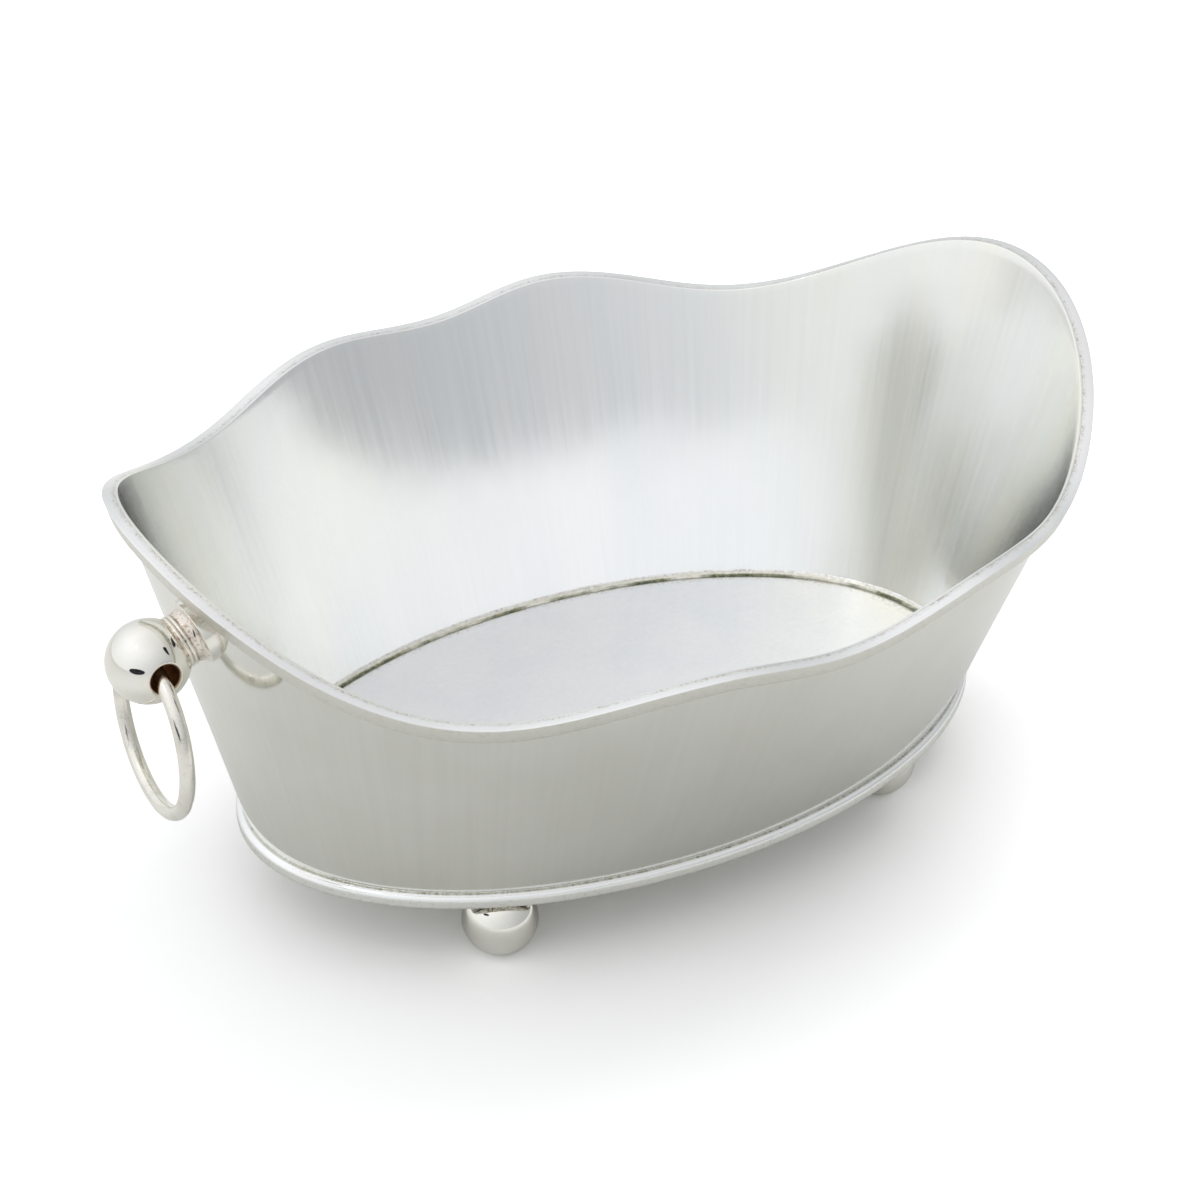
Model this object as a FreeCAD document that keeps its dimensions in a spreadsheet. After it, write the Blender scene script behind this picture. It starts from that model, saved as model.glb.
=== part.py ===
"""Oval silver champagne bucket with a waved rim, four ball feet and two loose ring handles.

Frame: +X along the long axis, +Z up, origin on the ground under the middle of the bucket.
The wall is one flared sheet: every level section is an ellipse, and its rulings are straight.
A flat band is soldered round the outside of the rim and a rounded band round the foot of the
wall. Each handle is a bored ball on a beaded neck and a bell-shaped collar, with a loose ring
through the ball.
"""

import FreeCAD
import Part
import Sketcher
import math
import os

from FreeCAD import Rotation, Vector

DOC = FreeCAD.newDocument("champagne_bucket")
SHEET = DOC.addObject("Spreadsheet::Sheet", "Dimensions")

# All lengths in millimetres, all angles in degrees.
DIMENSIONS = {
    # wall: outer half axes at the foot line, and how far they grow per millimetre of height
    "wall_half_length": 147.0,
    "wall_half_width": 87.9,
    "end_flare": 0.272,
    "side_flare": 0.430,
    "sheet_thickness": 1.2,
    # floor
    "floor_underside": 1.9,
    "floor_thickness": 1.2,
    "floor_gap": 0.05,
    "bead_leg": 1.6,
    # bands
    "rim_band_width": 4.3,
    "rim_band_height": 6.4,
    "rim_band_round": 0.5,
    "base_band_width": 4.2,
    "base_band_height": 5.4,
    # ball feet: the left pair stands a little wider than the right pair
    "foot_ball": 13.6,
    "foot_centre_height": 13.4,
    "foot_drop": 13.3,
    "foot_spigot": 5.0,
    "left_foot_reach": 87.3,
    "left_foot_spread": 61.0,
    "right_foot_reach": 85.0,
    "right_foot_spread": 53.0,
    # handles, measured along the handle axis from the centre of the ball
    "knob_ball": 14.2,
    "knob_reach": 194.0,
    "knob_lift": 104.9,
    "knob_side": -17.0,
    "right_knob_lift": 99.8,
    "handle_tilt": 19.0,
    "hole_bore": 5.1,
    "hole_bevel": 0.7,
    "neck_start": 10.6,
    "neck_core": 9.1,
    "neck_bead": 0.85,
    "neck_length": 3.2,
    "collar_neck": 9.2,
    "collar_lip": 11.8,
    "collar_flare": 3.4,
    "collar_length": 13.0,
    # ring
    "ring_centreline": 28.3,
    "ring_wire": 2.66,
    "ring_seat": 1.2,
    # the left ring has slipped round in its bore, as far as the play lets it
    "left_ring_yaw": 3.5,
    "right_ring_yaw": 0.0,
}

# Crests and dips of the rim: angle round the oval from the right end, and height of the wall
# there above the foot line. The rim runs smoothly from one to the next.
RIM_STATIONS = [
    ("right_end_crest", 5, 146.5),
    ("far_right_dip", 50, 110.5),
    ("far_crest_right", 72, 118.5),
    ("far_middle_dip", 90, 111.0),
    ("far_crest_left", 105, 114.5),
    ("far_left_dip", 127, 107.0),
    ("left_end_crest", 175, 139.5),
    ("near_left_dip", 228, 98.2),
    ("near_crest_left", 256, 113.0),
    ("near_middle_dip", 270, 108.5),
    ("near_crest_right", 290, 118.0),
    ("near_right_dip", 315, 109.5),
]

SAMPLES = 72


def fill_sheet():
    rows = list(DIMENSIONS.items())
    rows += [(name, height) for name, _, height in RIM_STATIONS]
    for row, (name, value) in enumerate(rows, start=1):
        SHEET.set(f"A{row}", name)
        SHEET.set(f"B{row}", str(value))
        SHEET.setAlias(f"B{row}", name)
    DOC.recompute()


def size(name):
    return float(SHEET.get(name))


def bind(obj, **links):
    """Bind properties of an object to sheet expressions, with the sheet's name filled in."""
    for prop, text in links.items():
        obj.setExpression(prop, text.replace("@", "Dimensions."))


# ---------------------------------------------------------------- the tub's curved sheets


def foot_line():
    return size("foot_centre_height") + size("foot_drop")


def rim_height(angle):
    """Height of the wall above the foot line at an angle in degrees."""
    stations = [(at, size(name)) for name, at, _ in RIM_STATIONS]
    first = stations[0]
    stations.append((first[0] + 360.0, first[1]))
    if angle < first[0]:
        angle += 360.0
    for (start, low), (end, high) in zip(stations, stations[1:]):
        if start <= angle <= end:
            share = (angle - start) / (end - start)
            return low + (high - low) * (1.0 - math.cos(math.pi * share)) / 2.0
    return first[1]


def wall_point(angle, rise, outset=0.0):
    """A point of the wall's outer face, or outset from it, at a rise above the foot line."""
    turn = math.radians(angle)
    along = size("wall_half_length") + size("end_flare") * rise + outset
    across = size("wall_half_width") + size("side_flare") * rise + outset
    return Vector(along * math.cos(turn), across * math.sin(turn), foot_line() + rise)


def closed_curve(points):
    curve = Part.BSplineCurve()
    knots = [float(index) for index in range(len(points) + 1)]
    curve.interpolate(Points=points, PeriodicFlag=True, Parameters=knots)
    return curve.toShape()


def ring_solid(section):
    """A closed ring whose cross-section at each angle is the polygon section(angle)."""
    angles = [360.0 * index / SAMPLES for index in range(SAMPLES)]
    rows = [section(angle) for angle in angles]
    edges = [closed_curve([row[corner] for row in rows]) for corner in range(len(rows[0]))]
    faces = []
    for index, edge in enumerate(edges):
        faces.append(Part.makeRuledSurface(edge, edges[(index + 1) % len(edges)]))
    shell = Part.makeShell(faces)
    shell.sewShape()
    solid = Part.makeSolid(shell)
    if solid.Volume < 0:
        solid.reverse()
    return solid


def wall_section(angle):
    top = rim_height(angle)
    sheet = size("sheet_thickness")
    return [
        wall_point(angle, 0.0),
        wall_point(angle, top),
        wall_point(angle, top, -sheet),
        wall_point(angle, 0.0, -sheet),
    ]


def rim_band_section(angle):
    top = rim_height(angle)
    deep = size("rim_band_height")
    wide = size("rim_band_width")
    edge = size("rim_band_round")
    return [
        wall_point(angle, top),
        wall_point(angle, top, wide - edge),
        wall_point(angle, top - edge, wide),
        wall_point(angle, top - deep + edge, wide),
        wall_point(angle, top - deep, wide - edge),
        wall_point(angle, top - deep),
    ]


def base_band_section(angle):
    tall = size("base_band_height")
    wide = size("base_band_width")
    profile = [(0.0, 0.0), (0.85, 0.0), (1.0, 0.12), (1.0, 0.62), (0.86, 0.84), (0.5, 0.97), (0.0, 1.0)]
    points = []
    for out, up in profile:
        flare_free = size("wall_half_length") + wide * out
        across = size("wall_half_width") + wide * out
        turn = math.radians(angle)
        if out == 0.0:
            points.append(wall_point(angle, tall * up))
        else:
            points.append(
                Vector(flare_free * math.cos(turn), across * math.sin(turn), foot_line() + tall * up)
            )
    return points


def bead_section(angle):
    sheet = size("sheet_thickness")
    leg = size("bead_leg")
    floor = size("floor_underside") + size("floor_thickness")
    return [
        wall_point(angle, floor, -sheet),
        wall_point(angle, floor + leg, -sheet),
        wall_point(angle, floor + 0.35 * leg, -sheet - 0.45 * leg),
        wall_point(angle, floor, -sheet - leg),
    ]


def ring_feature(label, section):
    feature = DOC.addObject("Part::Feature", label)
    feature.Label = label
    feature.Shape = ring_solid(section)
    return feature


def build_floor():
    """An oval plate that fits inside the wall just above the foot line."""
    outline = DOC.addObject("Part::Ellipse", "floor_outline")
    inset = "@sheet_thickness - @floor_gap"
    bind(
        outline,
        MajorRadius=f"@wall_half_length + @end_flare * @floor_underside - {inset}",
        MinorRadius=f"@wall_half_width + @side_flare * @floor_underside - {inset}",
    )
    plate = DOC.addObject("Part::Extrusion", "floor_plate")
    plate.Label = "floor_plate"
    plate.Base = outline
    plate.DirMode = "Custom"
    plate.Dir = Vector(0, 0, 1)
    plate.Solid = True
    bind(plate, LengthFwd="@floor_thickness")
    plate.Placement.Base = Vector(0, 0, foot_line() + size("floor_underside"))
    return plate


# ---------------------------------------------------------------- feet


def build_foot(label, reach, spread):
    """A ball with a small worn flat underneath and a spigot soldered under the floor."""
    ball = DOC.addObject("Part::Sphere", f"{label}_ball")
    bind(ball, Radius="@foot_ball", Angle1="-asin(@foot_centre_height / @foot_ball)")
    spigot = DOC.addObject("Part::Cylinder", f"{label}_spigot")
    bind(spigot, Radius="@foot_spigot", Height="@foot_drop + @floor_underside")
    foot = DOC.addObject("Part::Fuse", label)
    foot.Label = label
    foot.Base = ball
    foot.Tool = spigot
    foot.Placement.Base = Vector(reach, spread, size("foot_centre_height"))
    return foot


def build_feet():
    feet = []
    for end, sign in (("left", -1), ("right", 1)):
        reach = sign * size(f"{end}_foot_reach")
        spread = size(f"{end}_foot_spread")
        feet.append(build_foot(f"foot_{end}_front", reach, -spread))
        feet.append(build_foot(f"foot_{end}_back", reach, spread))
    return feet


# ---------------------------------------------------------------- handles


class Handle:
    """Where one handle's ball is and which way its axis runs, from the ball into the wall."""

    def __init__(self, name, sign, side, lift):
        self.name = name
        self.centre = Vector(sign * size("knob_reach"), side, foot_line() + lift)
        self.placement = FreeCAD.Placement(
            self.centre, Rotation(Vector(0, 1, 0), -sign * (90.0 - size("handle_tilt")))
        )


def build_knob(handle):
    """The ball, cut flat where the neck meets it and bored straight through from side to side."""
    name = f"{handle.name}_ball_knob"
    ball = DOC.addObject("Part::Sphere", f"{name}_ball")
    bind(ball, Radius="@knob_ball", Angle2="asin(@neck_start / @knob_ball)")
    tools = []
    bore = DOC.addObject("Part::Cylinder", f"{name}_bore")
    bind(bore, Radius="@hole_bore", Height="2 * @knob_ball + 2")
    bore.Placement = FreeCAD.Placement(
        Vector(0, size("knob_ball") + 1, 0), Rotation(Vector(1, 0, 0), 90)
    )
    tools.append(bore)
    mouth = math.sqrt(size("knob_ball") ** 2 - size("hole_bore") ** 2)
    for side in (-1, 1):
        bevel = DOC.addObject("Part::Cone", f"{name}_bevel_{'front' if side < 0 else 'back'}")
        bind(
            bevel,
            Radius1="@hole_bore",
            Radius2="@hole_bore + 2 * @hole_bevel",
            Height="2 * @hole_bevel",
        )
        start = side * (mouth - size("hole_bevel"))
        bevel.Placement = FreeCAD.Placement(
            Vector(0, start, 0), Rotation(Vector(1, 0, 0), -90 * side)
        )
        tools.append(bevel)
    cutter = DOC.addObject("Part::MultiFuse", f"{name}_cutter")
    cutter.Shapes = tools
    knob = DOC.addObject("Part::Cut", name)
    knob.Label = name
    knob.Base = ball
    knob.Tool = cutter
    knob.Placement = handle.placement
    return knob


def build_neck(handle):
    """A short washer with two rounded beads between the ball and the collar."""
    name = f"{handle.name}_neck_ring"
    core = DOC.addObject("Part::Cylinder", f"{name}_core")
    bind(core, Radius="@neck_core", Height="@neck_length")
    core.Placement.Base = Vector(0, 0, size("neck_start"))
    pieces = [core]
    for order in (1, 2):
        bead = DOC.addObject("Part::Torus", f"{name}_bead_{order}")
        bind(bead, Radius1="@neck_core - 0.1", Radius2="@neck_bead")
        share = 0.27 if order == 1 else 0.73
        bead.Placement.Base = Vector(0, 0, size("neck_start") + share * size("neck_length"))
        pieces.append(bead)
    neck = DOC.addObject("Part::MultiFuse", name)
    neck.Label = name
    neck.Shapes = pieces
    neck.Placement = handle.placement
    return neck


def collar_profile():
    """Corners of the collar's half section: distance from its axis, and along it."""
    start = size("neck_start") + size("neck_length")
    neck = size("collar_neck")
    lip = size("collar_lip")
    flare = size("collar_flare")
    length = size("collar_length")
    return [
        (0.0, start),
        (neck, start),
        (neck + 0.12 * (lip - neck), start + 0.45 * flare),
        (neck + 0.40 * (lip - neck), start + 0.78 * flare),
        (lip, start + flare),
        (lip, start + length),
        (0.0, start + length),
    ]


def build_collar(handle, envelope):
    """A bell-shaped collar, turned and then cut to sit against the flared wall."""
    name = f"{handle.name}_wall_collar"
    body = DOC.addObject("PartDesign::Body", f"{name}_turned")
    sketch = body.newObject("Sketcher::SketchObject", f"{name}_profile")
    plane = [item for item in body.Origin.OriginFeatures if item.Role == "XZ_Plane"][0]
    sketch.AttachmentSupport = [(plane, "")]
    sketch.MapMode = "FlatFace"

    corners = [Vector(out, along, 0) for out, along in collar_profile()]
    count = len(corners)
    for index in range(count):
        sketch.addGeometry(Part.LineSegment(corners[index], corners[(index + 1) % count]), False)
    for index in range(count):
        sketch.addConstraint(Sketcher.Constraint("Coincident", index, 2, (index + 1) % count, 1))
    for index, kind in ((0, "Horizontal"), (4, "Vertical"), (5, "Horizontal")):
        sketch.addConstraint(Sketcher.Constraint(kind, index))
    sketch.addConstraint(Sketcher.Constraint("PointOnObject", 0, 1, -2))
    sketch.addConstraint(Sketcher.Constraint("PointOnObject", 5, 2, -2))
    step = "@collar_lip - @collar_neck"
    sizes = [
        ("start", "DistanceY", (-1, 1, 0, 1), "@neck_start + @neck_length"),
        ("neck", "DistanceX", (-1, 1, 0, 2), "@collar_neck"),
        ("curve_out", "DistanceX", (0, 2, 1, 2), f"0.12 * ({step})"),
        ("curve_up", "DistanceY", (0, 2, 1, 2), "0.45 * @collar_flare"),
        ("bell_out", "DistanceX", (0, 2, 2, 2), f"0.40 * ({step})"),
        ("bell_up", "DistanceY", (0, 2, 2, 2), "0.78 * @collar_flare"),
        ("lip", "DistanceX", (-1, 1, 3, 2), "@collar_lip"),
        ("flare", "DistanceY", (0, 2, 3, 2), "@collar_flare"),
        ("length", "DistanceY", (0, 1, 5, 2), "@collar_length"),
    ]
    for label, kind, ends, text in sizes:
        place = sketch.addConstraint(Sketcher.Constraint(kind, *ends, 1.0))
        sketch.renameConstraint(place, label)
        sketch.setExpression(f"Constraints.{label}", text.replace("@", "Dimensions."))

    turned = body.newObject("PartDesign::Revolution", f"{name}_turning")
    turned.Profile = sketch
    turned.ReferenceAxis = (sketch, ["V_Axis"])
    turned.Angle = 360.0
    body.Placement = handle.placement

    collar = DOC.addObject("Part::Cut", name)
    collar.Label = name
    collar.Base = body
    collar.Tool = envelope
    return collar


def build_ring(handle):
    """A round wire ring that hangs through the ball's bore, its plane upright."""
    name = f"{handle.name}_ring"
    ring = DOC.addObject("Part::Torus", name)
    ring.Label = name
    bind(ring, Radius1="@ring_centreline", Radius2="@ring_wire")
    drop = size("ring_centreline") - size("ring_seat")
    yaw = Rotation(Vector(0, 0, 1), -size(f"{handle.name}_ring_yaw"))
    ring.Placement = FreeCAD.Placement(
        handle.centre - Vector(0, 0, drop), yaw.multiply(Rotation(Vector(0, 1, 0), 90))
    )
    return ring


def build_envelope():
    """The space inside the wall's outer face, used to cut the collars to the wall."""
    envelope = DOC.addObject("Part::Feature", "wall_envelope")
    rings = []
    for rise in (0.0, 160.0):
        points = [wall_point(360.0 * index / SAMPLES, rise) for index in range(SAMPLES)]
        rings.append(Part.Wire([closed_curve(points)]))
    envelope.Shape = Part.makeLoft(rings, True, True)
    return envelope


# ---------------------------------------------------------------- assembly and export


def build_all():
    fill_sheet()
    pieces = [
        ring_feature("tub_wall", wall_section),
        ring_feature("rim_band", rim_band_section),
        ring_feature("base_band", base_band_section),
        ring_feature("floor_solder_bead", bead_section),
        build_floor(),
    ]
    pieces += build_feet()
    envelope = build_envelope()
    handles = [
        Handle("left", -1, size("knob_side"), size("knob_lift")),
        Handle("right", 1, 0.0, size("right_knob_lift")),
    ]
    for handle in handles:
        pieces.append(build_collar(handle, envelope))
        pieces.append(build_neck(handle))
        pieces.append(build_knob(handle))
        pieces.append(build_ring(handle))
    DOC.recompute()
    return pieces


def check(pieces):
    for obj in DOC.Objects:
        bad = [word for word in obj.State if word in ("Invalid", "Error")]
        if bad:
            raise RuntimeError(f"{obj.Label} did not compute: {bad}")
    for piece in pieces:
        shape = piece.Shape
        if shape.isNull() or not shape.isValid() or shape.Volume <= 0:
            raise RuntimeError(f"{piece.Label} has no valid solid")
        if len(shape.Solids) != 1:
            raise RuntimeError(f"{piece.Label} has {len(shape.Solids)} solids")


def export(pieces):
    os.makedirs("parts", exist_ok=True)
    for piece in pieces:
        piece.Shape.exportStep(f"parts/{piece.Label}.step")
        box = piece.Shape.BoundBox
        print(
            f"{piece.Label:22s} {piece.Shape.Volume:10.1f} mm3  "
            f"x {box.XMin:.1f}..{box.XMax:.1f}  y {box.YMin:.1f}..{box.YMax:.1f}  "
            f"z {box.ZMin:.1f}..{box.ZMax:.1f}"
        )


PIECES = build_all()
check(PIECES)
export(PIECES)
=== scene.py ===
import math

import bmesh
import bpy
from mathutils import Matrix, Vector, noise


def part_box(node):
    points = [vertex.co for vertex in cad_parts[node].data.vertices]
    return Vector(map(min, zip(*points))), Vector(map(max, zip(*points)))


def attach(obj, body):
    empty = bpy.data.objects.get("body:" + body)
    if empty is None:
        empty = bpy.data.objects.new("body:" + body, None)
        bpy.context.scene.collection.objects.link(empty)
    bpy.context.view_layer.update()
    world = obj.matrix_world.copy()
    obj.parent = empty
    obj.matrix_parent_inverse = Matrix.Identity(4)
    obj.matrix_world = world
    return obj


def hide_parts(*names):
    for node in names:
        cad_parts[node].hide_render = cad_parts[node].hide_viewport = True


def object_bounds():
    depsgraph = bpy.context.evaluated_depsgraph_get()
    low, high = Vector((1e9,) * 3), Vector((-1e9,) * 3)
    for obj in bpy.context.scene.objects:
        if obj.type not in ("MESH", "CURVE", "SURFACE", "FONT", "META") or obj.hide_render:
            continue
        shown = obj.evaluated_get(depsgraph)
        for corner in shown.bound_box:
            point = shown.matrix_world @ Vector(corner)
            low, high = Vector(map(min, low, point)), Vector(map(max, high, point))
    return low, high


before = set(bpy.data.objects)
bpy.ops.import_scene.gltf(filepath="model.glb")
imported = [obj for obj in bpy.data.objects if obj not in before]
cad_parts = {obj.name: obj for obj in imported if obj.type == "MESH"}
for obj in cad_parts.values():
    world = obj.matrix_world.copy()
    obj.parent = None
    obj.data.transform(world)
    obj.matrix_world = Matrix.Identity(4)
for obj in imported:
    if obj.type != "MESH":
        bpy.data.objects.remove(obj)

# The visual model of an oval silver champagne bucket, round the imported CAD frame.
# Lengths in this script are millimetres in the CAD frame; skin() turns them into metres.

MM = 0.001
CAD_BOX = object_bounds()

# ------------------------------------------------------------ sizes shared with the CAD model

HALF_LENGTH, HALF_WIDTH = 147.0, 87.9
END_FLARE, SIDE_FLARE = 0.272, 0.430
SHEET = 1.2
FOOT_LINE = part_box("base_band")[0][2] / MM
FLOOR_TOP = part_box("floor_plate")[1][2] / MM - FOOT_LINE
FLOOR_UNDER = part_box("floor_plate")[0][2] / MM - FOOT_LINE
BAND_WIDE, BAND_DEEP = 4.3, 6.4
BASE_WIDE, BASE_TALL = 4.2, 5.4
BEAD_LEG = 1.6
KNOB, BORE, BEVEL = 14.2, 5.1, 0.7
HANDLE_TILT = math.radians(19.0)
NECK_START, NECK_LENGTH, NECK_CORE, NECK_BEAD = 10.6, 3.2, 9.1, 0.85
COLLAR_NECK, COLLAR_LIP, COLLAR_FLARE = 9.2, 11.8, 3.4
RING_RADIUS, RING_WIRE, RING_SEAT = 28.3, 2.66, 1.2
RING_YAW = {"left": math.radians(3.5), "right": 0.0}
FOOT_BALL, FOOT_SPIGOT, FOOT_FLAT = 13.6, 5.0, 2.3
FOOT_SOLE, FOOT_TOP = -80.2, 64.0  # degrees from the ball's middle where it meets its flat and neck

# Crests and dips of the rim: (angle round the oval from the right end, rise above the foot line).
RIM = [
    (5, 146.5), (50, 110.5), (72, 118.5), (90, 111.0), (105, 114.5), (127, 107.0),
    (175, 139.5), (228, 98.2), (256, 113.0), (270, 108.5), (290, 118.0), (315, 109.5),
]


def rim_rise(angle):
    """Height of the rim above the foot line at an angle in degrees."""
    stations = RIM + [(RIM[0][0] + 360.0, RIM[0][1])]
    angle = angle % 360.0
    if angle < stations[0][0]:
        angle += 360.0
    for (start, low), (end, high) in zip(stations, stations[1:]):
        if start <= angle <= end:
            share = (angle - start) / (end - start)
            return low + (high - low) * (1.0 - math.cos(math.pi * share)) / 2.0
    return stations[0][1]


def wall(angle, rise, outset=0.0):
    """A point on the wall's outer face, or outset from it."""
    turn = math.radians(angle)
    along = HALF_LENGTH + END_FLARE * rise + outset
    across = HALF_WIDTH + SIDE_FLARE * rise + outset
    return Vector((along * math.cos(turn), across * math.sin(turn), FOOT_LINE + rise))


def wobble(point, span, depth, seed=0.0):
    """Smooth unevenness left by hand work: a height in mm that varies over span mm."""
    return depth * noise.noise(point / span + Vector((seed, seed * 0.7, -seed)))


def ease(value, low, high):
    """0 below low, 1 above high, smooth between."""
    share = min(1.0, max(0.0, (value - low) / (high - low)))
    return share * share * (3.0 - 2.0 * share)


# ------------------------------------------------------------ meshes


def skin(name, loops, body, nodes, closed=True):
    """A smooth piece from loops of (point in mm, grime mark, inside mark) joined to one another."""
    mesh = bpy.data.meshes.new(name)
    shape = bmesh.new()
    grime = shape.verts.layers.float.new("grime")
    inside = shape.verts.layers.float.new("inside")
    grid = []
    for loop in loops:
        row = []
        for point, dirt, inner in loop:
            vert = shape.verts.new(point * MM)
            vert[grime] = dirt
            vert[inside] = inner
            row.append(vert)
        grid.append(row)
    around = len(grid)
    across = len(grid[0])
    for i in range(around):
        for j in range(across if closed else across - 1):
            a, b = grid[i], grid[(i + 1) % around]
            k = (j + 1) % across
            shape.faces.new((a[j], b[j], b[k], a[k]))
    bmesh.ops.remove_doubles(shape, verts=shape.verts, dist=1e-7)
    bmesh.ops.recalc_face_normals(shape, faces=shape.faces)
    for face in shape.faces:
        face.smooth = True
    shape.to_mesh(mesh)
    shape.free()
    piece = bpy.data.objects.new(name, mesh)
    bpy.context.scene.collection.objects.link(piece)
    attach(piece, body)
    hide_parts(*nodes)
    return piece


def fillet(corner, start, end, radius, steps=4):
    """Points of a rounded corner in a flat section, from the side of start to the side of end."""
    corner, start, end = Vector(corner), Vector(start), Vector(end)
    first = corner + (start - corner).normalized() * radius
    last = corner + (end - corner).normalized() * radius
    points = []
    for step in range(steps + 1):
        t = step / steps
        points.append(first * (1 - t) ** 2 + corner * 2 * t * (1 - t) + last * t * t)
    return points


def rounded(corners, radii, steps=4):
    """A closed flat outline with each corner rounded."""
    outline = []
    count = len(corners)
    for index, corner in enumerate(corners):
        following = corners[(index + 1) % count]
        outline += fillet(corner, corners[index - 1], following, radii[index], steps)
    return outline


def spread(start, end, count):
    """count numbers from start to end, both ends included."""
    return [start + (end - start) * index / (count - 1) for index in range(count)]


def build_wall():
    """The flared sheet: outer face, flat top edge, inner face and bottom edge."""
    loops = []
    edge = 0.32
    for angle in spread(0.0, 360.0, 481)[:-1]:
        top = rim_rise(angle)
        loop = []
        for share in spread(0.0, 1.0, 44):
            rise = share * (top - edge)
            free = ease(rise, BASE_TALL, 22.0) * (1.0 - ease(rise, top - 24.0, top - BAND_DEEP))
            spot = wall(angle, rise)
            hump = free * (wobble(spot, 46.0, 0.16) + wobble(spot, 19.0, 0.035, 3.0))
            under_band = 0.8 * ease(rise, top - BAND_DEEP - 1.0, top - BAND_DEEP)
            above_base = 0.4 - 0.4 * ease(rise, BASE_TALL, BASE_TALL + 1.0)
            seam = 0.0 if rise > top - BAND_DEEP else max(under_band, above_base)
            loop.append((wall(angle, rise, min(hump, 0.12)), 0.55 * seam, 0.0))
        for out, rise in ((0.0, top - 0.08), (-0.03, top - 0.02), (-0.1, top), (-0.5, top)):
            loop.append((wall(angle, rise, out), 0.25 if out > -0.2 else 0.0, 0.6))
        for step in range(0, 5):
            turn = math.pi / 8 * step
            rise = top - edge + edge * math.cos(turn)
            loop.append((wall(angle, rise, -SHEET + edge * (1 - math.sin(turn))), 0.0, 1.0))
        for share in spread(1.0, 0.0, 44)[1:]:
            rise = share * (top - edge)
            free = ease(rise, FLOOR_TOP + 2.0, 20.0) * (1.0 - ease(rise, top - 16.0, top - 3.0))
            spot = wall(angle, rise, -SHEET)
            hump = free * (wobble(spot, 44.0, 0.17, 5.0) + wobble(spot, 17.0, 0.03, 8.0))
            dirt = 1.0 - ease(rise, FLOOR_TOP + 0.8, FLOOR_TOP + 2.6)
            loop.append((wall(angle, rise, -SHEET + max(hump, -0.25)), 0.2 * dirt, 1.0))
        loops.append(loop)
    return skin("bucket_wall", loops, "tub", ["tub_wall"])


def build_rim_band():
    """The applied strip: a flat bright top, and an outer face left rough by the file and painted a
    darker grey than the top as painted shade.
    """
    loops = []
    for angle in spread(0.0, 360.0, 961)[:-1]:
        top = rim_rise(angle)
        spot = wall(angle, top)
        wide = BAND_WIDE - 0.12 + wobble(spot, 23.0, 0.12, 1.0) + wobble(spot, 4.0, 0.05, 2.0)
        deep = BAND_DEEP + wobble(spot, 17.0, 0.18, 4.0) + wobble(spot, 3.2, 0.10, 6.0)
        crown = -0.03 + wobble(spot, 15.0, 0.03, 7.0)
        corners = [
            (0.0, -0.02), (wide * 0.5, crown), (wide, -0.08), (wide - 0.1, -deep), (0.0, -deep),
        ]
        radii = [0.10, 0.4, 0.26, 0.75, 0.1]
        loop = []
        for out, up in rounded(corners, radii):
            dirt = 0.5 - 0.5 * ease(out, 0.1, 0.4) if up > -0.6 else 0.0
            if up < -deep + 0.25:
                dirt = 0.75 * (1.0 - ease(out, 0.5, wide))
            # The outer face is marked here: rougher, coarser in grain, and painted a darker grey as
            # painted shade.
            rough = ease(-up, 0.10, 0.34) if out > wide * 0.6 else 0.0
            loop.append((wall(angle, top + up, out), dirt, rough))
        loops.append(loop)
    return skin("rim_strip", loops, "tub", ["rim_band"])


def build_base_band():
    """The rounded strip round the foot of the wall, soldered along its top edge."""
    loops = []
    profile = [
        (-0.3, 0.0), (0.5, 0.0), (0.85, 0.01), (0.97, 0.06), (1.0, 0.14), (1.0, 0.35), (1.0, 0.52),
        (0.99, 0.63), (0.95, 0.73), (0.87, 0.82), (0.75, 0.89), (0.6, 0.94), (0.2, 0.985),
        (0.1, 0.96), (-0.3, 0.93),
    ]
    for angle in spread(0.0, 360.0, 721)[:-1]:
        turn = math.radians(angle)
        spot = wall(angle, 0.0)
        wide = BASE_WIDE - 0.08 + wobble(spot, 21.0, 0.08, 11.0)
        tall = BASE_TALL - 0.12 + wobble(spot, 14.0, 0.12, 12.0) + wobble(spot, 4.0, 0.05, 13.0)
        loop = []
        for out, up in profile:
            lean = 1.0 if out <= 0.2 else 0.0
            along = HALF_LENGTH + wide * out + lean * END_FLARE * tall * up
            across = HALF_WIDTH + wide * out + lean * SIDE_FLARE * tall * up
            point = Vector((along * math.cos(turn), across * math.sin(turn), FOOT_LINE + tall * up))
            if up > 0.5:
                dirt = 0.35 - 0.35 * ease(out, 0.05, 0.3)
            else:
                dirt = 0.9 - 0.9 * ease(up, 0.03, 0.14)
            # Painted shade: the lower side of the strip is marked to be painted a darker grey below
            # its bright rounded top.
            side = 0.55 - 0.55 * ease(up, 0.55, 0.72)
            loop.append((point, dirt, side))
        loops.append(loop)
    return skin("base_strip", loops, "tub", ["base_band"])


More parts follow.
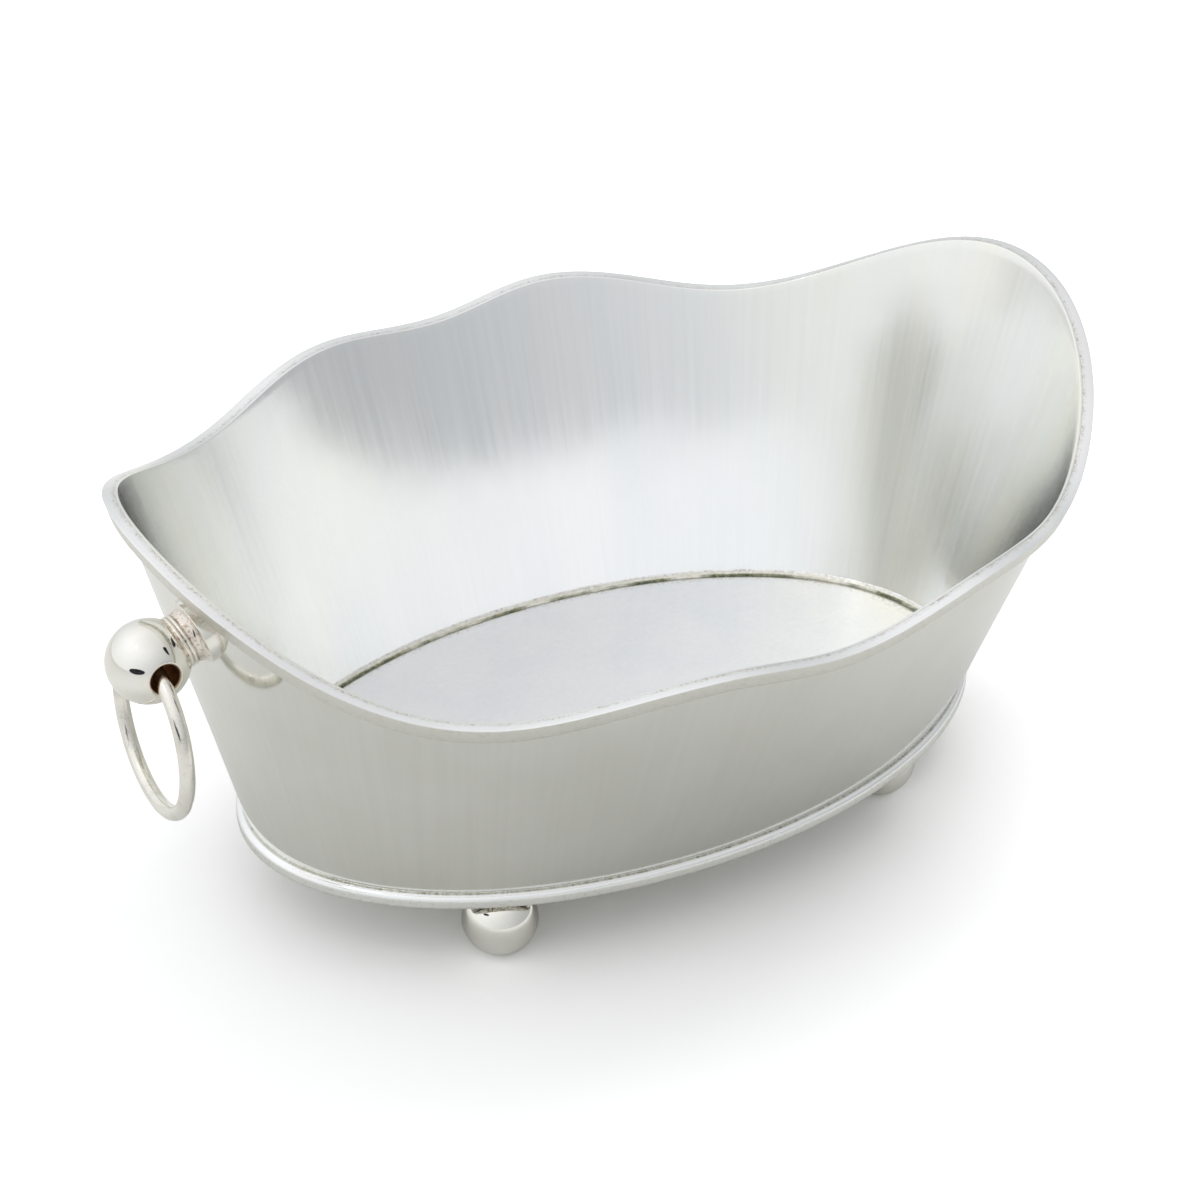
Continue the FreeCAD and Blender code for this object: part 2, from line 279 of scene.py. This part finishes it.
def build_solder_bead():
    """The solder run between the wall and the floor, thicker and thinner as it was laid."""
    loops = []
    dirt = (0.0, 0.0, 0.1, 0.45, 0.85, 1.0, 1.0)
    for angle in spread(0.0, 360.0, 961)[:-1]:
        spot = wall(angle, FLOOR_TOP)
        size = BEAD_LEG * (0.86 + wobble(spot, 9.0, 0.22, 21.0) + wobble(spot, 2.6, 0.16, 22.0))
        foot = BEAD_LEG * (0.9 + wobble(spot, 7.0, 0.28, 23.0) + wobble(spot, 1.9, 0.22, 24.0))
        lumps = wobble(spot, 1.6, 0.12, 25.0)
        section = [
            (-SHEET + 0.1, 0.0), (-SHEET + 0.1, size), (-SHEET - 0.12 * foot, 0.62 * size),
            (-SHEET - 0.30 * foot, 0.36 * size + lumps),
            (-SHEET - 0.58 * foot, 0.15 * size + 0.6 * lumps),
            (-SHEET - 0.86 * foot, 0.045 * size), (-SHEET - foot, -0.05),
        ]
        loop = []
        for (out, up), soil in zip(section, dirt):
            loop.append((wall(angle, FLOOR_TOP + up, out), soil, 1.0))
        loops.append(loop)
    return skin("floor_solder_run", loops, "tub", ["floor_solder_bead"])


def build_floor():
    """The oval floor plate, very slightly uneven."""
    loops = []
    inset = SHEET + 0.05
    along = HALF_LENGTH + END_FLARE * FLOOR_UNDER - inset
    across = HALF_WIDTH + SIDE_FLARE * FLOOR_UNDER - inset
    edge = BEAD_LEG / across
    for angle in spread(0.0, 360.0, 241)[:-1]:
        turn = math.radians(angle)
        loop = []
        for share in spread(0.0, 1.0, 40):
            point = Vector((along * share * math.cos(turn), across * share * math.sin(turn), 0.0))
            sag = (1.0 - ease(share, 0.82, 0.97)) * (wobble(point, 52.0, 0.14, 31.0) - 0.10)
            dirt = 0.25 * ease(share, 1.0 - 2.4 * edge, 1.0 - 1.2 * edge)
            point.z = FOOT_LINE + FLOOR_TOP + min(sag, 0.0)
            loop.append((point, dirt, 1.0))
        for share in spread(1.0, 0.0, 14):
            point = Vector((along * share * math.cos(turn), across * share * math.sin(turn), 0.0))
            point.z = FOOT_LINE + FLOOR_UNDER
            loop.append((point, 0.25, 0.0))
        loops.append(loop)
    return skin("floor_sheet", loops, "tub", ["floor_plate"], closed=False)


def lathe(profile, place, turns=128):
    """Loops of a turned piece: profile is (radius, along, grime, inside) from end to end."""
    loops = []
    for index in range(turns):
        turn = 2.0 * math.pi * index / turns
        loop = []
        for radius, along, dirt, inner in profile:
            point = Vector((radius * math.cos(turn), radius * math.sin(turn), along))
            loop.append((place @ point, dirt, inner))
        loops.append(loop)
    return loops


def build_foot(end, side):
    """A ball foot with its worn flat and the neck of solder where it meets the floor."""
    node = f"foot_{end}_{side}"
    low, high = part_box(node)
    centre = (Vector(low) + Vector(high)) / (2 * MM)
    sole = -(FOOT_BALL ** 2 - FOOT_FLAT ** 2) ** 0.5
    centre.z = low[2] / MM - sole
    profile = [(0.0, sole, 0.5, 0.0), (1.2, sole, 0.5, 0.0)]
    for degrees in spread(FOOT_SOLE, FOOT_TOP, 60):
        turn = math.radians(degrees)
        dirt = ease(degrees, 48.0, 62.0)
        profile.append((FOOT_BALL * math.cos(turn), FOOT_BALL * math.sin(turn), dirt, 0.0))
    joint = FOOT_LINE + FLOOR_UNDER - centre.z
    neck_low = FOOT_BALL * math.sin(math.radians(FOOT_TOP))
    for share in spread(0.15, 1.0, 8):
        waist = FOOT_SPIGOT + 0.55 + 0.42 * (2 * share - 1.15) ** 2
        profile.append((waist, neck_low + (joint - neck_low) * share, 0.9, 0.0))
    loops = lathe(profile, Matrix.Translation(centre))
    return skin(f"ball_{node}", loops, "tub", [node], closed=False)


class Handle:
    """Where one handle's ball is, and the frame whose +Z runs from the ball into the wall."""

    def __init__(self, end, sign):
        self.end = end
        low, high = (Vector(corner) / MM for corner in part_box(f"{end}_ring"))
        reach = sign * (CAD_BOX[1][0] - CAD_BOX[0][0]) / (2 * MM)
        seat = high.z - RING_WIRE - RING_SEAT
        self.centre = Vector((reach - sign * KNOB, (low.y + high.y) / 2, seat))
        self.axis = Vector((-sign * math.cos(HANDLE_TILT), 0.0, math.sin(HANDLE_TILT)))
        side = Vector((0.0, 1.0, 0.0))
        cross = side.cross(self.axis)
        turned = Matrix((cross, side, self.axis)).transposed().to_4x4()
        self.along = Matrix.Translation(self.centre) @ turned
        bored = Matrix.Rotation(math.radians(90.0), 4, "X")
        self.bore = Matrix.Translation(self.centre) @ bored

    def to_wall(self, point):
        """Moves a point along the handle's axis onto the wall's outer face, by halving."""
        low, high = -30.0, 30.0
        for _ in range(40):
            middle = (low + high) / 2
            spot = point + self.axis * middle
            rise = spot.z - FOOT_LINE
            along = HALF_LENGTH + END_FLARE * rise
            across = HALF_WIDTH + SIDE_FLARE * rise
            if (spot.x / along) ** 2 + (spot.y / across) ** 2 > 1.0:
                low = middle
            else:
                high = middle
        return point + self.axis * low


def build_knob(handle):
    """The ball, turned about its bore so that the bevelled mouths are clean."""
    profile = []
    mouth = math.degrees(math.asin((BORE + BEVEL) / KNOB))
    rim = (KNOB ** 2 - (BORE + BEVEL) ** 2) ** 0.5
    for along in spread(0.0, rim - BEVEL * 1.15, 6):
        profile.append((BORE, along, 0.9, 1.0))
    for out, up in fillet((BORE, rim - BEVEL * 0.75), (BORE, 0.0), (BORE + BEVEL, rim), 0.45):
        profile.append((out, up, 0.75, 0.8))
    for degrees in spread(mouth + 0.7, 90.0, 52):
        turn = math.radians(degrees)
        dirt = 0.25 * (1.0 - ease(degrees, mouth + 1.0, mouth + 5.0))
        profile.append((KNOB * math.sin(turn), KNOB * math.cos(turn), dirt, 0.0))
    half = reversed(profile[1:-1])
    outline = profile + [(radius, -along, dirt, inside) for radius, along, dirt, inside in half]
    stained = []
    for loop in lathe(outline, handle.bore, 160):
        row = []
        for point, dirt, inside in loop:
            near = (point - handle.centre).dot(handle.axis)
            row.append((point, max(dirt, ease(near, 8.4, 10.6)), inside))
        stained.append(row)
    return skin(f"{handle.end}_knob", stained, "tub",
                [f"{handle.end}_ball_knob"])


def build_neck(handle):
    """Two thin beads on a short neck."""
    hidden = NECK_CORE - 3.0
    profile = [(hidden, NECK_START, 1.0, 0.0), (NECK_CORE, NECK_START, 1.0, 0.0)]
    for share in (0.27, 0.73):
        middle = NECK_START + share * NECK_LENGTH
        for degrees in spread(-82.0, 82.0, 13):
            turn = math.radians(degrees)
            out = NECK_CORE - 0.45 + NECK_BEAD * math.cos(turn)
            dirt = 0.95 - 0.75 * ease(math.cos(turn), 0.35, 0.95)
            profile.append((out, middle + NECK_BEAD * 0.92 * math.sin(turn), dirt, 0.0))
    end = NECK_START + NECK_LENGTH
    profile += [(NECK_CORE, end, 1.0, 0.0), (hidden, end, 1.0, 0.0)]
    loops = lathe(profile, handle.along)
    return skin(f"{handle.end}_neck_beads", loops, "tub",
                [f"{handle.end}_neck_ring"], closed=False)


def build_collar(handle):
    """The bell between the neck and the wall, shaped to the wall where they meet."""
    start = NECK_START + NECK_LENGTH
    step = COLLAR_LIP - COLLAR_NECK
    profile = [(COLLAR_NECK - 3.0, start, 1.0, 0.0), (COLLAR_NECK - 0.25, start, 1.0, 0.0),
               (COLLAR_NECK, start + 0.22, 0.95, 0.0)]
    for share in spread(0.08, 1.0, 16):
        out = COLLAR_NECK + step * (0.25 * share + 0.75 * share ** 2.2)
        along = start + COLLAR_FLARE * (1 - (1 - share) ** 1.5) * 0.995
        profile.append((out, along, 0.9 - 0.6 * share, 0.0))
    loops = lathe(profile, handle.along)
    for loop in loops:
        lip = loop[-1][0]
        seat = handle.to_wall(lip)
        for share in spread(0.0, 1.0, 14)[1:]:
            loop.append((lip.lerp(seat, share), 0.9 * ease(share, 0.72, 1.0), 0.0))
    return skin(f"{handle.end}_bell_collar", loops, "tub",
                [f"{handle.end}_wall_collar"], closed=False)


def build_ring(handle):
    """The loose wire ring, rubbed a little thinner where it runs in the bore."""
    middle = handle.centre - Vector((0.0, 0.0, RING_RADIUS - RING_SEAT))
    yaw = RING_YAW[handle.end]
    level = Vector((math.sin(yaw), math.cos(yaw), 0.0))
    side = Vector((math.cos(yaw), -math.sin(yaw), 0.0))
    loops = []
    for index in range(288):
        turn = 2.0 * math.pi * index / 288
        out = level * math.sin(turn) + Vector((0.0, 0.0, math.cos(turn)))
        spot = middle + out * RING_RADIUS
        wire = RING_WIRE - 0.05 + wobble(spot, 12.0, 0.05, 41.0)
        worn = 1.0 - ease(abs((turn + math.pi) % (2 * math.pi) - math.pi), 0.12, 0.34)
        loop = []
        for part in range(36):
            around = 2.0 * math.pi * part / 36
            radius = wire - 0.02 * worn * max(0.0, math.cos(around))
            offset = out * radius * math.cos(around) + side * radius * math.sin(around)
            loop.append((spot + offset, 0.1, 0.0))
        loops.append(loop)
    return skin(f"{handle.end}_wire_ring", loops, f"{handle.end}_ring",
                [f"{handle.end}_ring"])


# ------------------------------------------------------------ materials


class Paint:
    """A node material, built one node at a time."""

    def __init__(self, name):
        self.material = bpy.data.materials.new(name)
        self.material.use_nodes = True
        self.tree = self.material.node_tree
        self.shader = self.tree.nodes["Principled BSDF"]
        self.place = self.node("ShaderNodeTexCoord").outputs["Object"]

    def node(self, kind, inputs=(), **settings):
        made = self.tree.nodes.new(kind)
        for key, value in settings.items():
            setattr(made, key, value)
        for key, value in dict(inputs).items():
            self.feed(made.inputs[key], value)
        return made

    def feed(self, socket, value):
        if isinstance(value, bpy.types.NodeSocket):
            self.tree.links.new(value, socket)
        else:
            socket.default_value = value

    def math(self, operation, first, second=0.0, third=None):
        values = {0: first, 1: second}
        if third is not None:
            values[2] = third
        return self.node("ShaderNodeMath", values, operation=operation).outputs[0]

    def mark(self, name):
        return self.node("ShaderNodeAttribute", attribute_name=name).outputs["Fac"]

    def stretch(self, scale, place=None):
        inputs = {"Vector": place or self.place, "Scale": scale}
        return self.node("ShaderNodeMapping", inputs).outputs["Vector"]

    def noise(self, scale, detail=3.0, roughness=0.55, place=None):
        inputs = {"Vector": place or self.place, "Scale": scale, "Detail": detail,
                  "Roughness": roughness}
        return self.node("ShaderNodeTexNoise", inputs).outputs[0]

    def ramp(self, value, low, high, start=0.0, end=1.0):
        inputs = {"Value": value, "From Min": low, "From Max": high, "To Min": start, "To Max": end}
        made = self.node("ShaderNodeMapRange", inputs, interpolation_type="SMOOTHSTEP")
        return made.outputs[0]

    def mix(self, share, first, second, blend="MIX"):
        made = self.node("ShaderNodeMix", {0: share}, data_type="RGBA", blend_type=blend)
        self.feed(made.inputs[6], first)
        self.feed(made.inputs[7], second)
        return made.outputs[2]

    def bump(self, height, distance, strength=1.0, under=None):
        inputs = {"Height": height, "Distance": distance, "Strength": strength}
        if under:
            inputs["Normal"] = under
        return self.node("ShaderNodeBump", inputs).outputs[0]

    def finish(self, colour, roughness, normal, metallic=1.0):
        self.feed(self.shader.inputs["Base Color"], colour)
        self.feed(self.shader.inputs["Roughness"], roughness)
        self.feed(self.shader.inputs["Normal"], normal)
        self.shader.inputs["Metallic"].default_value = metallic
        return self.material


def rgb(red, green, blue):
    return (red, green, blue, 1.0)


def rulings(paint):
    """Coordinates that stay the same along the wall's straight rulings, and plain x, in metres."""
    x, y, z = paint.node("ShaderNodeSeparateXYZ", {0: paint.place}).outputs
    rise = paint.math("SUBTRACT", z, FOOT_LINE * MM)
    along = paint.math("MULTIPLY_ADD", rise, END_FLARE, HALF_LENGTH * MM)
    across = paint.math("MULTIPLY_ADD", rise, SIDE_FLARE, HALF_WIDTH * MM)
    end = paint.math("MULTIPLY", paint.math("DIVIDE", x, along), 0.16)
    side = paint.math("MULTIPLY", paint.math("DIVIDE", y, across), 0.11)
    place = paint.node("ShaderNodeCombineXYZ", {0: end, 1: side, 2: z}).outputs[0]
    return place, x


TARNISH = rgb(0.20, 0.13, 0.07)
COPPER = rgb(0.50, 0.30, 0.14)
RUST = rgb(0.30, 0.14, 0.06)
OLIVE = rgb(0.62, 0.60, 0.44)


def soiled(paint, colour, roughness, size):
    """Brown pits and film where the grime mark is high, broken up by noise of a given fineness."""
    dirt = paint.mark("grime")
    grain = paint.noise(size, 4.0, 0.6)
    patch = paint.noise(size * 0.16, 2.0)
    level = paint.math("MULTIPLY", dirt, paint.ramp(patch, 0.34, 0.62, 0.35, 1.0))
    pits = paint.math("MULTIPLY", paint.ramp(grain, 0.48, 0.60), level)
    film = paint.math("MULTIPLY", level, 0.45)
    colour = paint.mix(film, colour, OLIVE)
    colour = paint.mix(pits, colour, TARNISH)
    rough = paint.math("MULTIPLY_ADD", pits, 0.45, roughness)
    rough = paint.math("MULTIPLY_ADD", film, 0.25, rough)
    return colour, rough


def satin_silver():
    """The wall and floor: bright and faintly streaked along the rulings; the outer face is painted
    darker than the inner face as painted shade, and the inner face is painted paler and warmer
    nearer each end of the oval as painted light.
    """
    paint = Paint("satin_silver_finish")
    place, x = rulings(paint)
    inside = paint.mark("inside")
    streak = paint.noise(1.0, 4.0, 0.6, paint.stretch((420.0, 420.0, 9.0), place))
    broad = paint.noise(1.0, 3.0, 0.5, paint.stretch((34.0, 34.0, 5.0), place))
    cloud = paint.noise(26.0, 3.0, 0.5)
    far = paint.math("ABSOLUTE", x)
    uneven = paint.ramp(broad, 0.30, 0.62, 0.45, 1.0)
    # Painted light: the inner face is painted paler and warmer nearer each end of the oval, in
    # uneven patches.
    painted_light_ends = paint.math("MULTIPLY", paint.ramp(far, 0.085, 0.165), uneven)
    # Painted shade: the outer face gets a darker colour than the inner face of the same sheet.
    outer = paint.mix(paint.ramp(cloud, 0.3, 0.7), rgb(0.80, 0.80, 0.75), rgb(0.83, 0.83, 0.785))
    cool, pale = rgb(0.915, 0.930, 0.937), rgb(0.945, 0.950, 0.951)
    inner = paint.mix(paint.ramp(broad, 0.34, 0.66), cool, pale)
    inner = paint.mix(painted_light_ends, inner, rgb(0.965, 0.958, 0.89))
    colour = paint.mix(inside, outer, inner)
    fine = paint.ramp(streak, 0.25, 0.75, 0.97, 1.0)
    tone = paint.node("ShaderNodeCombineColor", {0: fine, 1: fine, 2: fine}).outputs[0]
    colour = paint.mix(1.0, colour, tone, "MULTIPLY")
    base_rough = paint.ramp(cloud, 0.3, 0.7, 0.055, 0.085)
    rough = paint.math("MULTIPLY_ADD", inside, 0.11, base_rough)
    rough = paint.math("ADD", rough, paint.ramp(streak, 0.3, 0.7, -0.02, 0.02))
    colour, rough = soiled(paint, colour, rough, 700.0)
    scratch = paint.noise(1.0, 2.0, 0.5, paint.stretch((1500.0, 1500.0, 120.0), place))
    under = paint.bump(paint.noise(55.0, 2.0), 0.0006, 0.05)
    normal = paint.bump(scratch, 0.00002, 0.25, under)
    return paint.finish(colour, rough, normal)


def band_silver():
    """The two strips: bright, with a grain from the file that is coarser on the outer faces; those
    faces are also painted a darker grey than the bright tops as painted shade.
    """
    paint = Paint("band_silver_finish")
    side = paint.mark("inside")
    grain = paint.noise(600.0, 4.0, 0.7)
    drag = paint.noise(1.0, 3.0, 0.6, paint.stretch((180.0, 180.0, 1400.0)))
    patch = paint.noise(60.0, 3.0)
    plain, bright = rgb(0.95, 0.955, 0.95), rgb(0.97, 0.975, 0.975)
    colour = paint.mix(paint.ramp(patch, 0.35, 0.65), plain, bright)
    often = paint.math("MULTIPLY_ADD", side, 0.5, 0.03)
    speck = paint.math("MULTIPLY", paint.ramp(grain, 0.54, 0.64), often)
    colour = paint.mix(speck, colour, rgb(0.42, 0.36, 0.26))
    # Painted shade: the marked outer faces are mixed towards a darker grey.
    colour = paint.mix(paint.math("MULTIPLY", side, 0.8), colour, rgb(0.74, 0.73, 0.67))
    rough = paint.ramp(patch, 0.3, 0.7, 0.18, 0.28)
    rough = paint.math("MULTIPLY_ADD", side, 0.14, rough)
    colour, rough = soiled(paint, colour, rough, 1000.0)
    height = paint.math("MULTIPLY_ADD", drag, 0.6, grain)
    depth = paint.math("MULTIPLY_ADD", side, 0.75, 0.08)
    normal = paint.bump(height, 0.00016, depth)
    return paint.finish(colour, rough, normal)


def polished_silver():
    """The turned pieces: mirror bright, with copper and brown tarnish round the joints."""
    paint = Paint("polished_silver_finish")
    dirt = paint.mark("grime")
    bore = paint.mark("inside")
    cloud = paint.noise(90.0, 3.0)
    fine = paint.noise(700.0, 4.0, 0.6)
    warm, pale = rgb(0.90, 0.885, 0.82), rgb(0.93, 0.92, 0.88)
    colour = paint.mix(paint.ramp(cloud, 0.35, 0.65), warm, pale)
    film = paint.math("MULTIPLY", dirt, paint.ramp(cloud, 0.30, 0.60, 0.25, 0.95))
    colour = paint.mix(paint.math("MULTIPLY", film, 0.40), colour, COPPER)
    pits = paint.math("MULTIPLY", dirt, paint.ramp(fine, 0.52, 0.66))
    colour = paint.mix(paint.math("MULTIPLY", pits, 0.75), colour, RUST)
    colour = paint.mix(bore, colour, rgb(0.36, 0.19, 0.08))
    rough = paint.ramp(fine, 0.3, 0.7, 0.035, 0.075)
    rough = paint.math("MULTIPLY_ADD", film, 0.10, rough)
    rough = paint.math("MULTIPLY_ADD", bore, 0.35, rough)
    normal = paint.bump(paint.noise(120.0, 2.0), 0.0002, 0.03)
    return paint.finish(colour, rough, normal)


def wire_silver():
    """The rings: polished wire with a fine rubbed grain and duller patches."""
    paint = Paint("wire_silver_finish")
    grain = paint.noise(1300.0, 4.0, 0.7)
    patch = paint.noise(70.0, 3.0, 0.6)
    rubbed = paint.ramp(patch, 0.40, 0.62)
    colour = paint.mix(rubbed, rgb(0.90, 0.88, 0.81), rgb(0.78, 0.76, 0.71))
    often = paint.math("MULTIPLY_ADD", rubbed, 0.35, 0.10)
    speck = paint.math("MULTIPLY", paint.ramp(grain, 0.50, 0.66), often)
    colour = paint.mix(speck, colour, rgb(0.42, 0.38, 0.33))
    rough = paint.ramp(grain, 0.3, 0.7, 0.07, 0.16)
    rough = paint.math("MULTIPLY_ADD", rubbed, 0.12, rough)
    normal = paint.bump(grain, 0.00006, 0.30)
    return paint.finish(colour, rough, normal)


def solder_finish():
    """The solder run: bright and uneven, with dark green-brown patches at its toe."""
    paint = Paint("solder_finish")
    grain = paint.noise(620.0, 3.0, 0.6)
    patch = paint.noise(34.0, 3.0, 0.6)
    bright = paint.mix(paint.ramp(grain, 0.35, 0.65), rgb(0.74, 0.72, 0.62), rgb(0.88, 0.87, 0.80))
    toe = paint.mix(paint.ramp(grain, 0.40, 0.62), rgb(0.09, 0.12, 0.08), rgb(0.34, 0.34, 0.20))
    soil = paint.ramp(paint.mark("grime"), 0.25, 0.9)
    soil = paint.math("MULTIPLY", soil, paint.ramp(patch, 0.36, 0.58))
    soil = paint.math("MULTIPLY", soil, paint.ramp(grain, 0.30, 0.46, 0.5, 1.0))
    colour = paint.mix(soil, bright, toe)
    rough = paint.math("MULTIPLY_ADD", soil, 0.3, 0.3)
    normal = paint.bump(grain, 0.0002, 0.35)
    return paint.finish(colour, rough, normal)


# ------------------------------------------------------------ the bucket

FINISHES = {
    "satin_silver": satin_silver(),
    "band_silver": band_silver(),
    "polished_silver": polished_silver(),
    "wire_silver": wire_silver(),
    "solder": solder_finish(),
}

pieces = {
    "satin_silver": [build_wall(), build_floor()],
    "band_silver": [build_rim_band(), build_base_band()],
    "solder": [build_solder_bead()],
    "polished_silver": [],
    "wire_silver": [],
}
for end in ("left", "right"):
    for side in ("front", "back"):
        pieces["polished_silver"].append(build_foot(end, side))
for handle in (Handle("left", -1), Handle("right", 1)):
    pieces["polished_silver"] += [build_knob(handle), build_neck(handle), build_collar(handle)]
    pieces["wire_silver"].append(build_ring(handle))
for slot, members in pieces.items():
    for piece in members:
        piece.data.materials.append(FINISHES[slot])

# ------------------------------------------------------------ studio


def flat_sheet(name, outline):
    """A mesh of one flat face."""
    mesh = bpy.data.meshes.new(name)
    mesh.from_pydata(outline, [], [tuple(range(len(outline)))])
    return mesh


def build_ground():
    """Plain paper, paler to the camera than to the silver, whose surroundings were greyer."""
    size = 6.0
    corners = [(-size, -size, 0), (size, -size, 0), (size, size, 0), (-size, size, 0)]
    mesh = flat_sheet("studio_floor", corners)
    ground = bpy.data.objects.new("studio_floor", mesh)
    bpy.context.scene.collection.objects.link(ground)
    paper = Paint("studio_paper")
    seen = paper.node("ShaderNodeLightPath").outputs["Is Camera Ray"]
    tone = paper.mix(seen, rgb(0.80, 0.80, 0.78), rgb(1.30, 1.30, 1.30))
    white = paper.node("ShaderNodeBsdfDiffuse", {"Color": tone})
    surface = paper.tree.nodes["Material Output"].inputs["Surface"]
    paper.tree.links.new(white.outputs[0], surface)
    mesh.materials.append(paper.material)


def aimed(kind, location, target):
    """An object at location that looks at target."""
    made = bpy.data.objects.new(kind.name, kind)
    made.location = location
    made.rotation_mode = "QUATERNION"
    made.rotation_quaternion = (Vector(target) - Vector(location)).to_track_quat("-Z", "Y")
    bpy.context.scene.collection.objects.link(made)
    return made


def soft_box(name, location, width, height, power):
    """A rectangular lamp aimed at the middle of the bucket."""
    lamp = bpy.data.lights.new(name, "AREA")
    lamp.shape = "RECTANGLE"
    lamp.size = width
    lamp.size_y = height
    lamp.energy = power
    return aimed(lamp, location, (0.0, 0.0, 0.06))


def build_world():
    """A pale studio: brighter overhead, and a little brighter to the left and behind."""
    world = bpy.data.worlds.new("studio")
    bpy.context.scene.world = world
    world.use_nodes = True
    tree = world.node_tree
    back = tree.nodes["Background"]
    place = tree.nodes.new("ShaderNodeTexCoord")
    split = tree.nodes.new("ShaderNodeSeparateXYZ")
    tree.links.new(place.outputs["Generated"], split.inputs[0])
    ramp = tree.nodes.new("ShaderNodeValToRGB")
    tree.links.new(split.outputs["Z"], ramp.inputs["Fac"])
    stops = ramp.color_ramp.elements
    stops[0].position, stops[0].color = 0.0, rgb(0.61, 0.615, 0.62)
    stops[1].position, stops[1].color = 0.85, rgb(0.80, 0.80, 0.81)
    for height, tone in ((0.25, rgb(0.63, 0.645, 0.655)), (0.5, rgb(0.68, 0.69, 0.70))):
        stops.new(height).color = tone
    lean = tree.nodes.new("ShaderNodeVectorMath")
    lean.operation = "DOT_PRODUCT"
    tree.links.new(place.outputs["Generated"], lean.inputs[0])
    lean.inputs[1].default_value = (-0.30, 0.14, 0.0)
    level = tree.nodes.new("ShaderNodeMath")
    level.inputs[1].default_value = 1.0
    tree.links.new(lean.outputs["Value"], level.inputs[0])
    leaned = tree.nodes.new("ShaderNodeVectorMath")
    leaned.operation = "SCALE"
    tree.links.new(ramp.outputs["Color"], leaned.inputs[0])
    tree.links.new(level.outputs[0], leaned.inputs["Scale"])
    light_path = tree.nodes.new("ShaderNodeLightPath")
    mix = tree.nodes.new("ShaderNodeMix")
    mix.data_type = "RGBA"
    tree.links.new(light_path.outputs["Is Camera Ray"], mix.inputs[0])
    tree.links.new(leaned.outputs[0], mix.inputs[6])
    mix.inputs[7].default_value = rgb(0.88, 0.88, 0.88)
    tree.links.new(mix.outputs[2], back.inputs["Color"])
    back.inputs["Strength"].default_value = 1.15


CAMERA_TURNS = (-33.5, 31.60, 1.0045)  # azimuth, elevation and roll, in degrees
CAMERA_PLACE = (-0.5494, -0.8190, 0.6900)
LENS_MM = 95.12


def build_camera():
    """The photograph's viewing angle."""
    azimuth, elevation, roll = (math.radians(value) for value in CAMERA_TURNS)
    right = Vector((math.cos(azimuth), math.sin(azimuth), 0.0))
    level = math.cos(elevation)
    ahead = Vector((-math.sin(azimuth) * level, math.cos(azimuth) * level, -math.sin(elevation)))
    above = right.cross(ahead)
    across = right * math.cos(roll) + above * math.sin(roll)
    up = above * math.cos(roll) - right * math.sin(roll)
    lens = bpy.data.cameras.new("camera")
    lens.lens = LENS_MM
    lens.sensor_width = 36.0
    lens.clip_start, lens.clip_end = 0.05, 50.0
    camera = bpy.data.objects.new("camera", lens)
    camera.rotation_mode = "QUATERNION"
    camera.location = CAMERA_PLACE
    camera.rotation_quaternion = Matrix((across, up, -ahead)).transposed().to_quaternion()
    bpy.context.scene.collection.objects.link(camera)
    bpy.context.scene.camera = camera


def dark_card(name, tilt, side, above, reach, width, height):
    """An oval black card near the left knob, seen only in reflections.

    It lies at a tilt in degrees from the camera's direction, towards side and above.
    """
    axes = bpy.context.scene.camera.rotation_quaternion.to_matrix()
    turn = math.radians(tilt)
    sideways = axes.col[0] * side + axes.col[1] * above
    away = axes.col[2] * math.cos(turn) + sideways * math.sin(turn)
    turns = [2.0 * math.pi * index / 32 for index in range(32)]
    outline = [(width / 2 * math.cos(t), height / 2 * math.sin(t), 0.0) for t in turns]
    mesh = flat_sheet(name, outline)
    low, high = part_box("left_ball_knob")
    ball = (Vector(low) + Vector(high)) / 2
    card = aimed(mesh, ball + away * reach, ball)
    card.visible_camera = False
    card.visible_shadow = False
    card.visible_diffuse = False
    black = Paint("black_card")
    faint = black.bump(black.noise(40.0), 0.001, 0.1)
    black.finish(rgb(0.012, 0.014, 0.02), 0.8, faint, 0.0)
    mesh.materials.append(black.material)


build_ground()
build_world()
build_camera()
dark_card("card_low_left", 33.0, -0.62, -0.78, 0.12, 0.085, 0.030)
dark_card("card_right", 62.0, 0.89, 0.45, 0.12, 0.022, 0.050)
soft_box("overhead", (0.9, 0.35, 1.6), 1.2, 0.8, 9.0).visible_glossy = False
soft_box("spark", (-1.0, -0.1, 1.5), 0.10, 0.10, 0.28)
bpy.context.scene.view_settings.view_transform = "Standard"
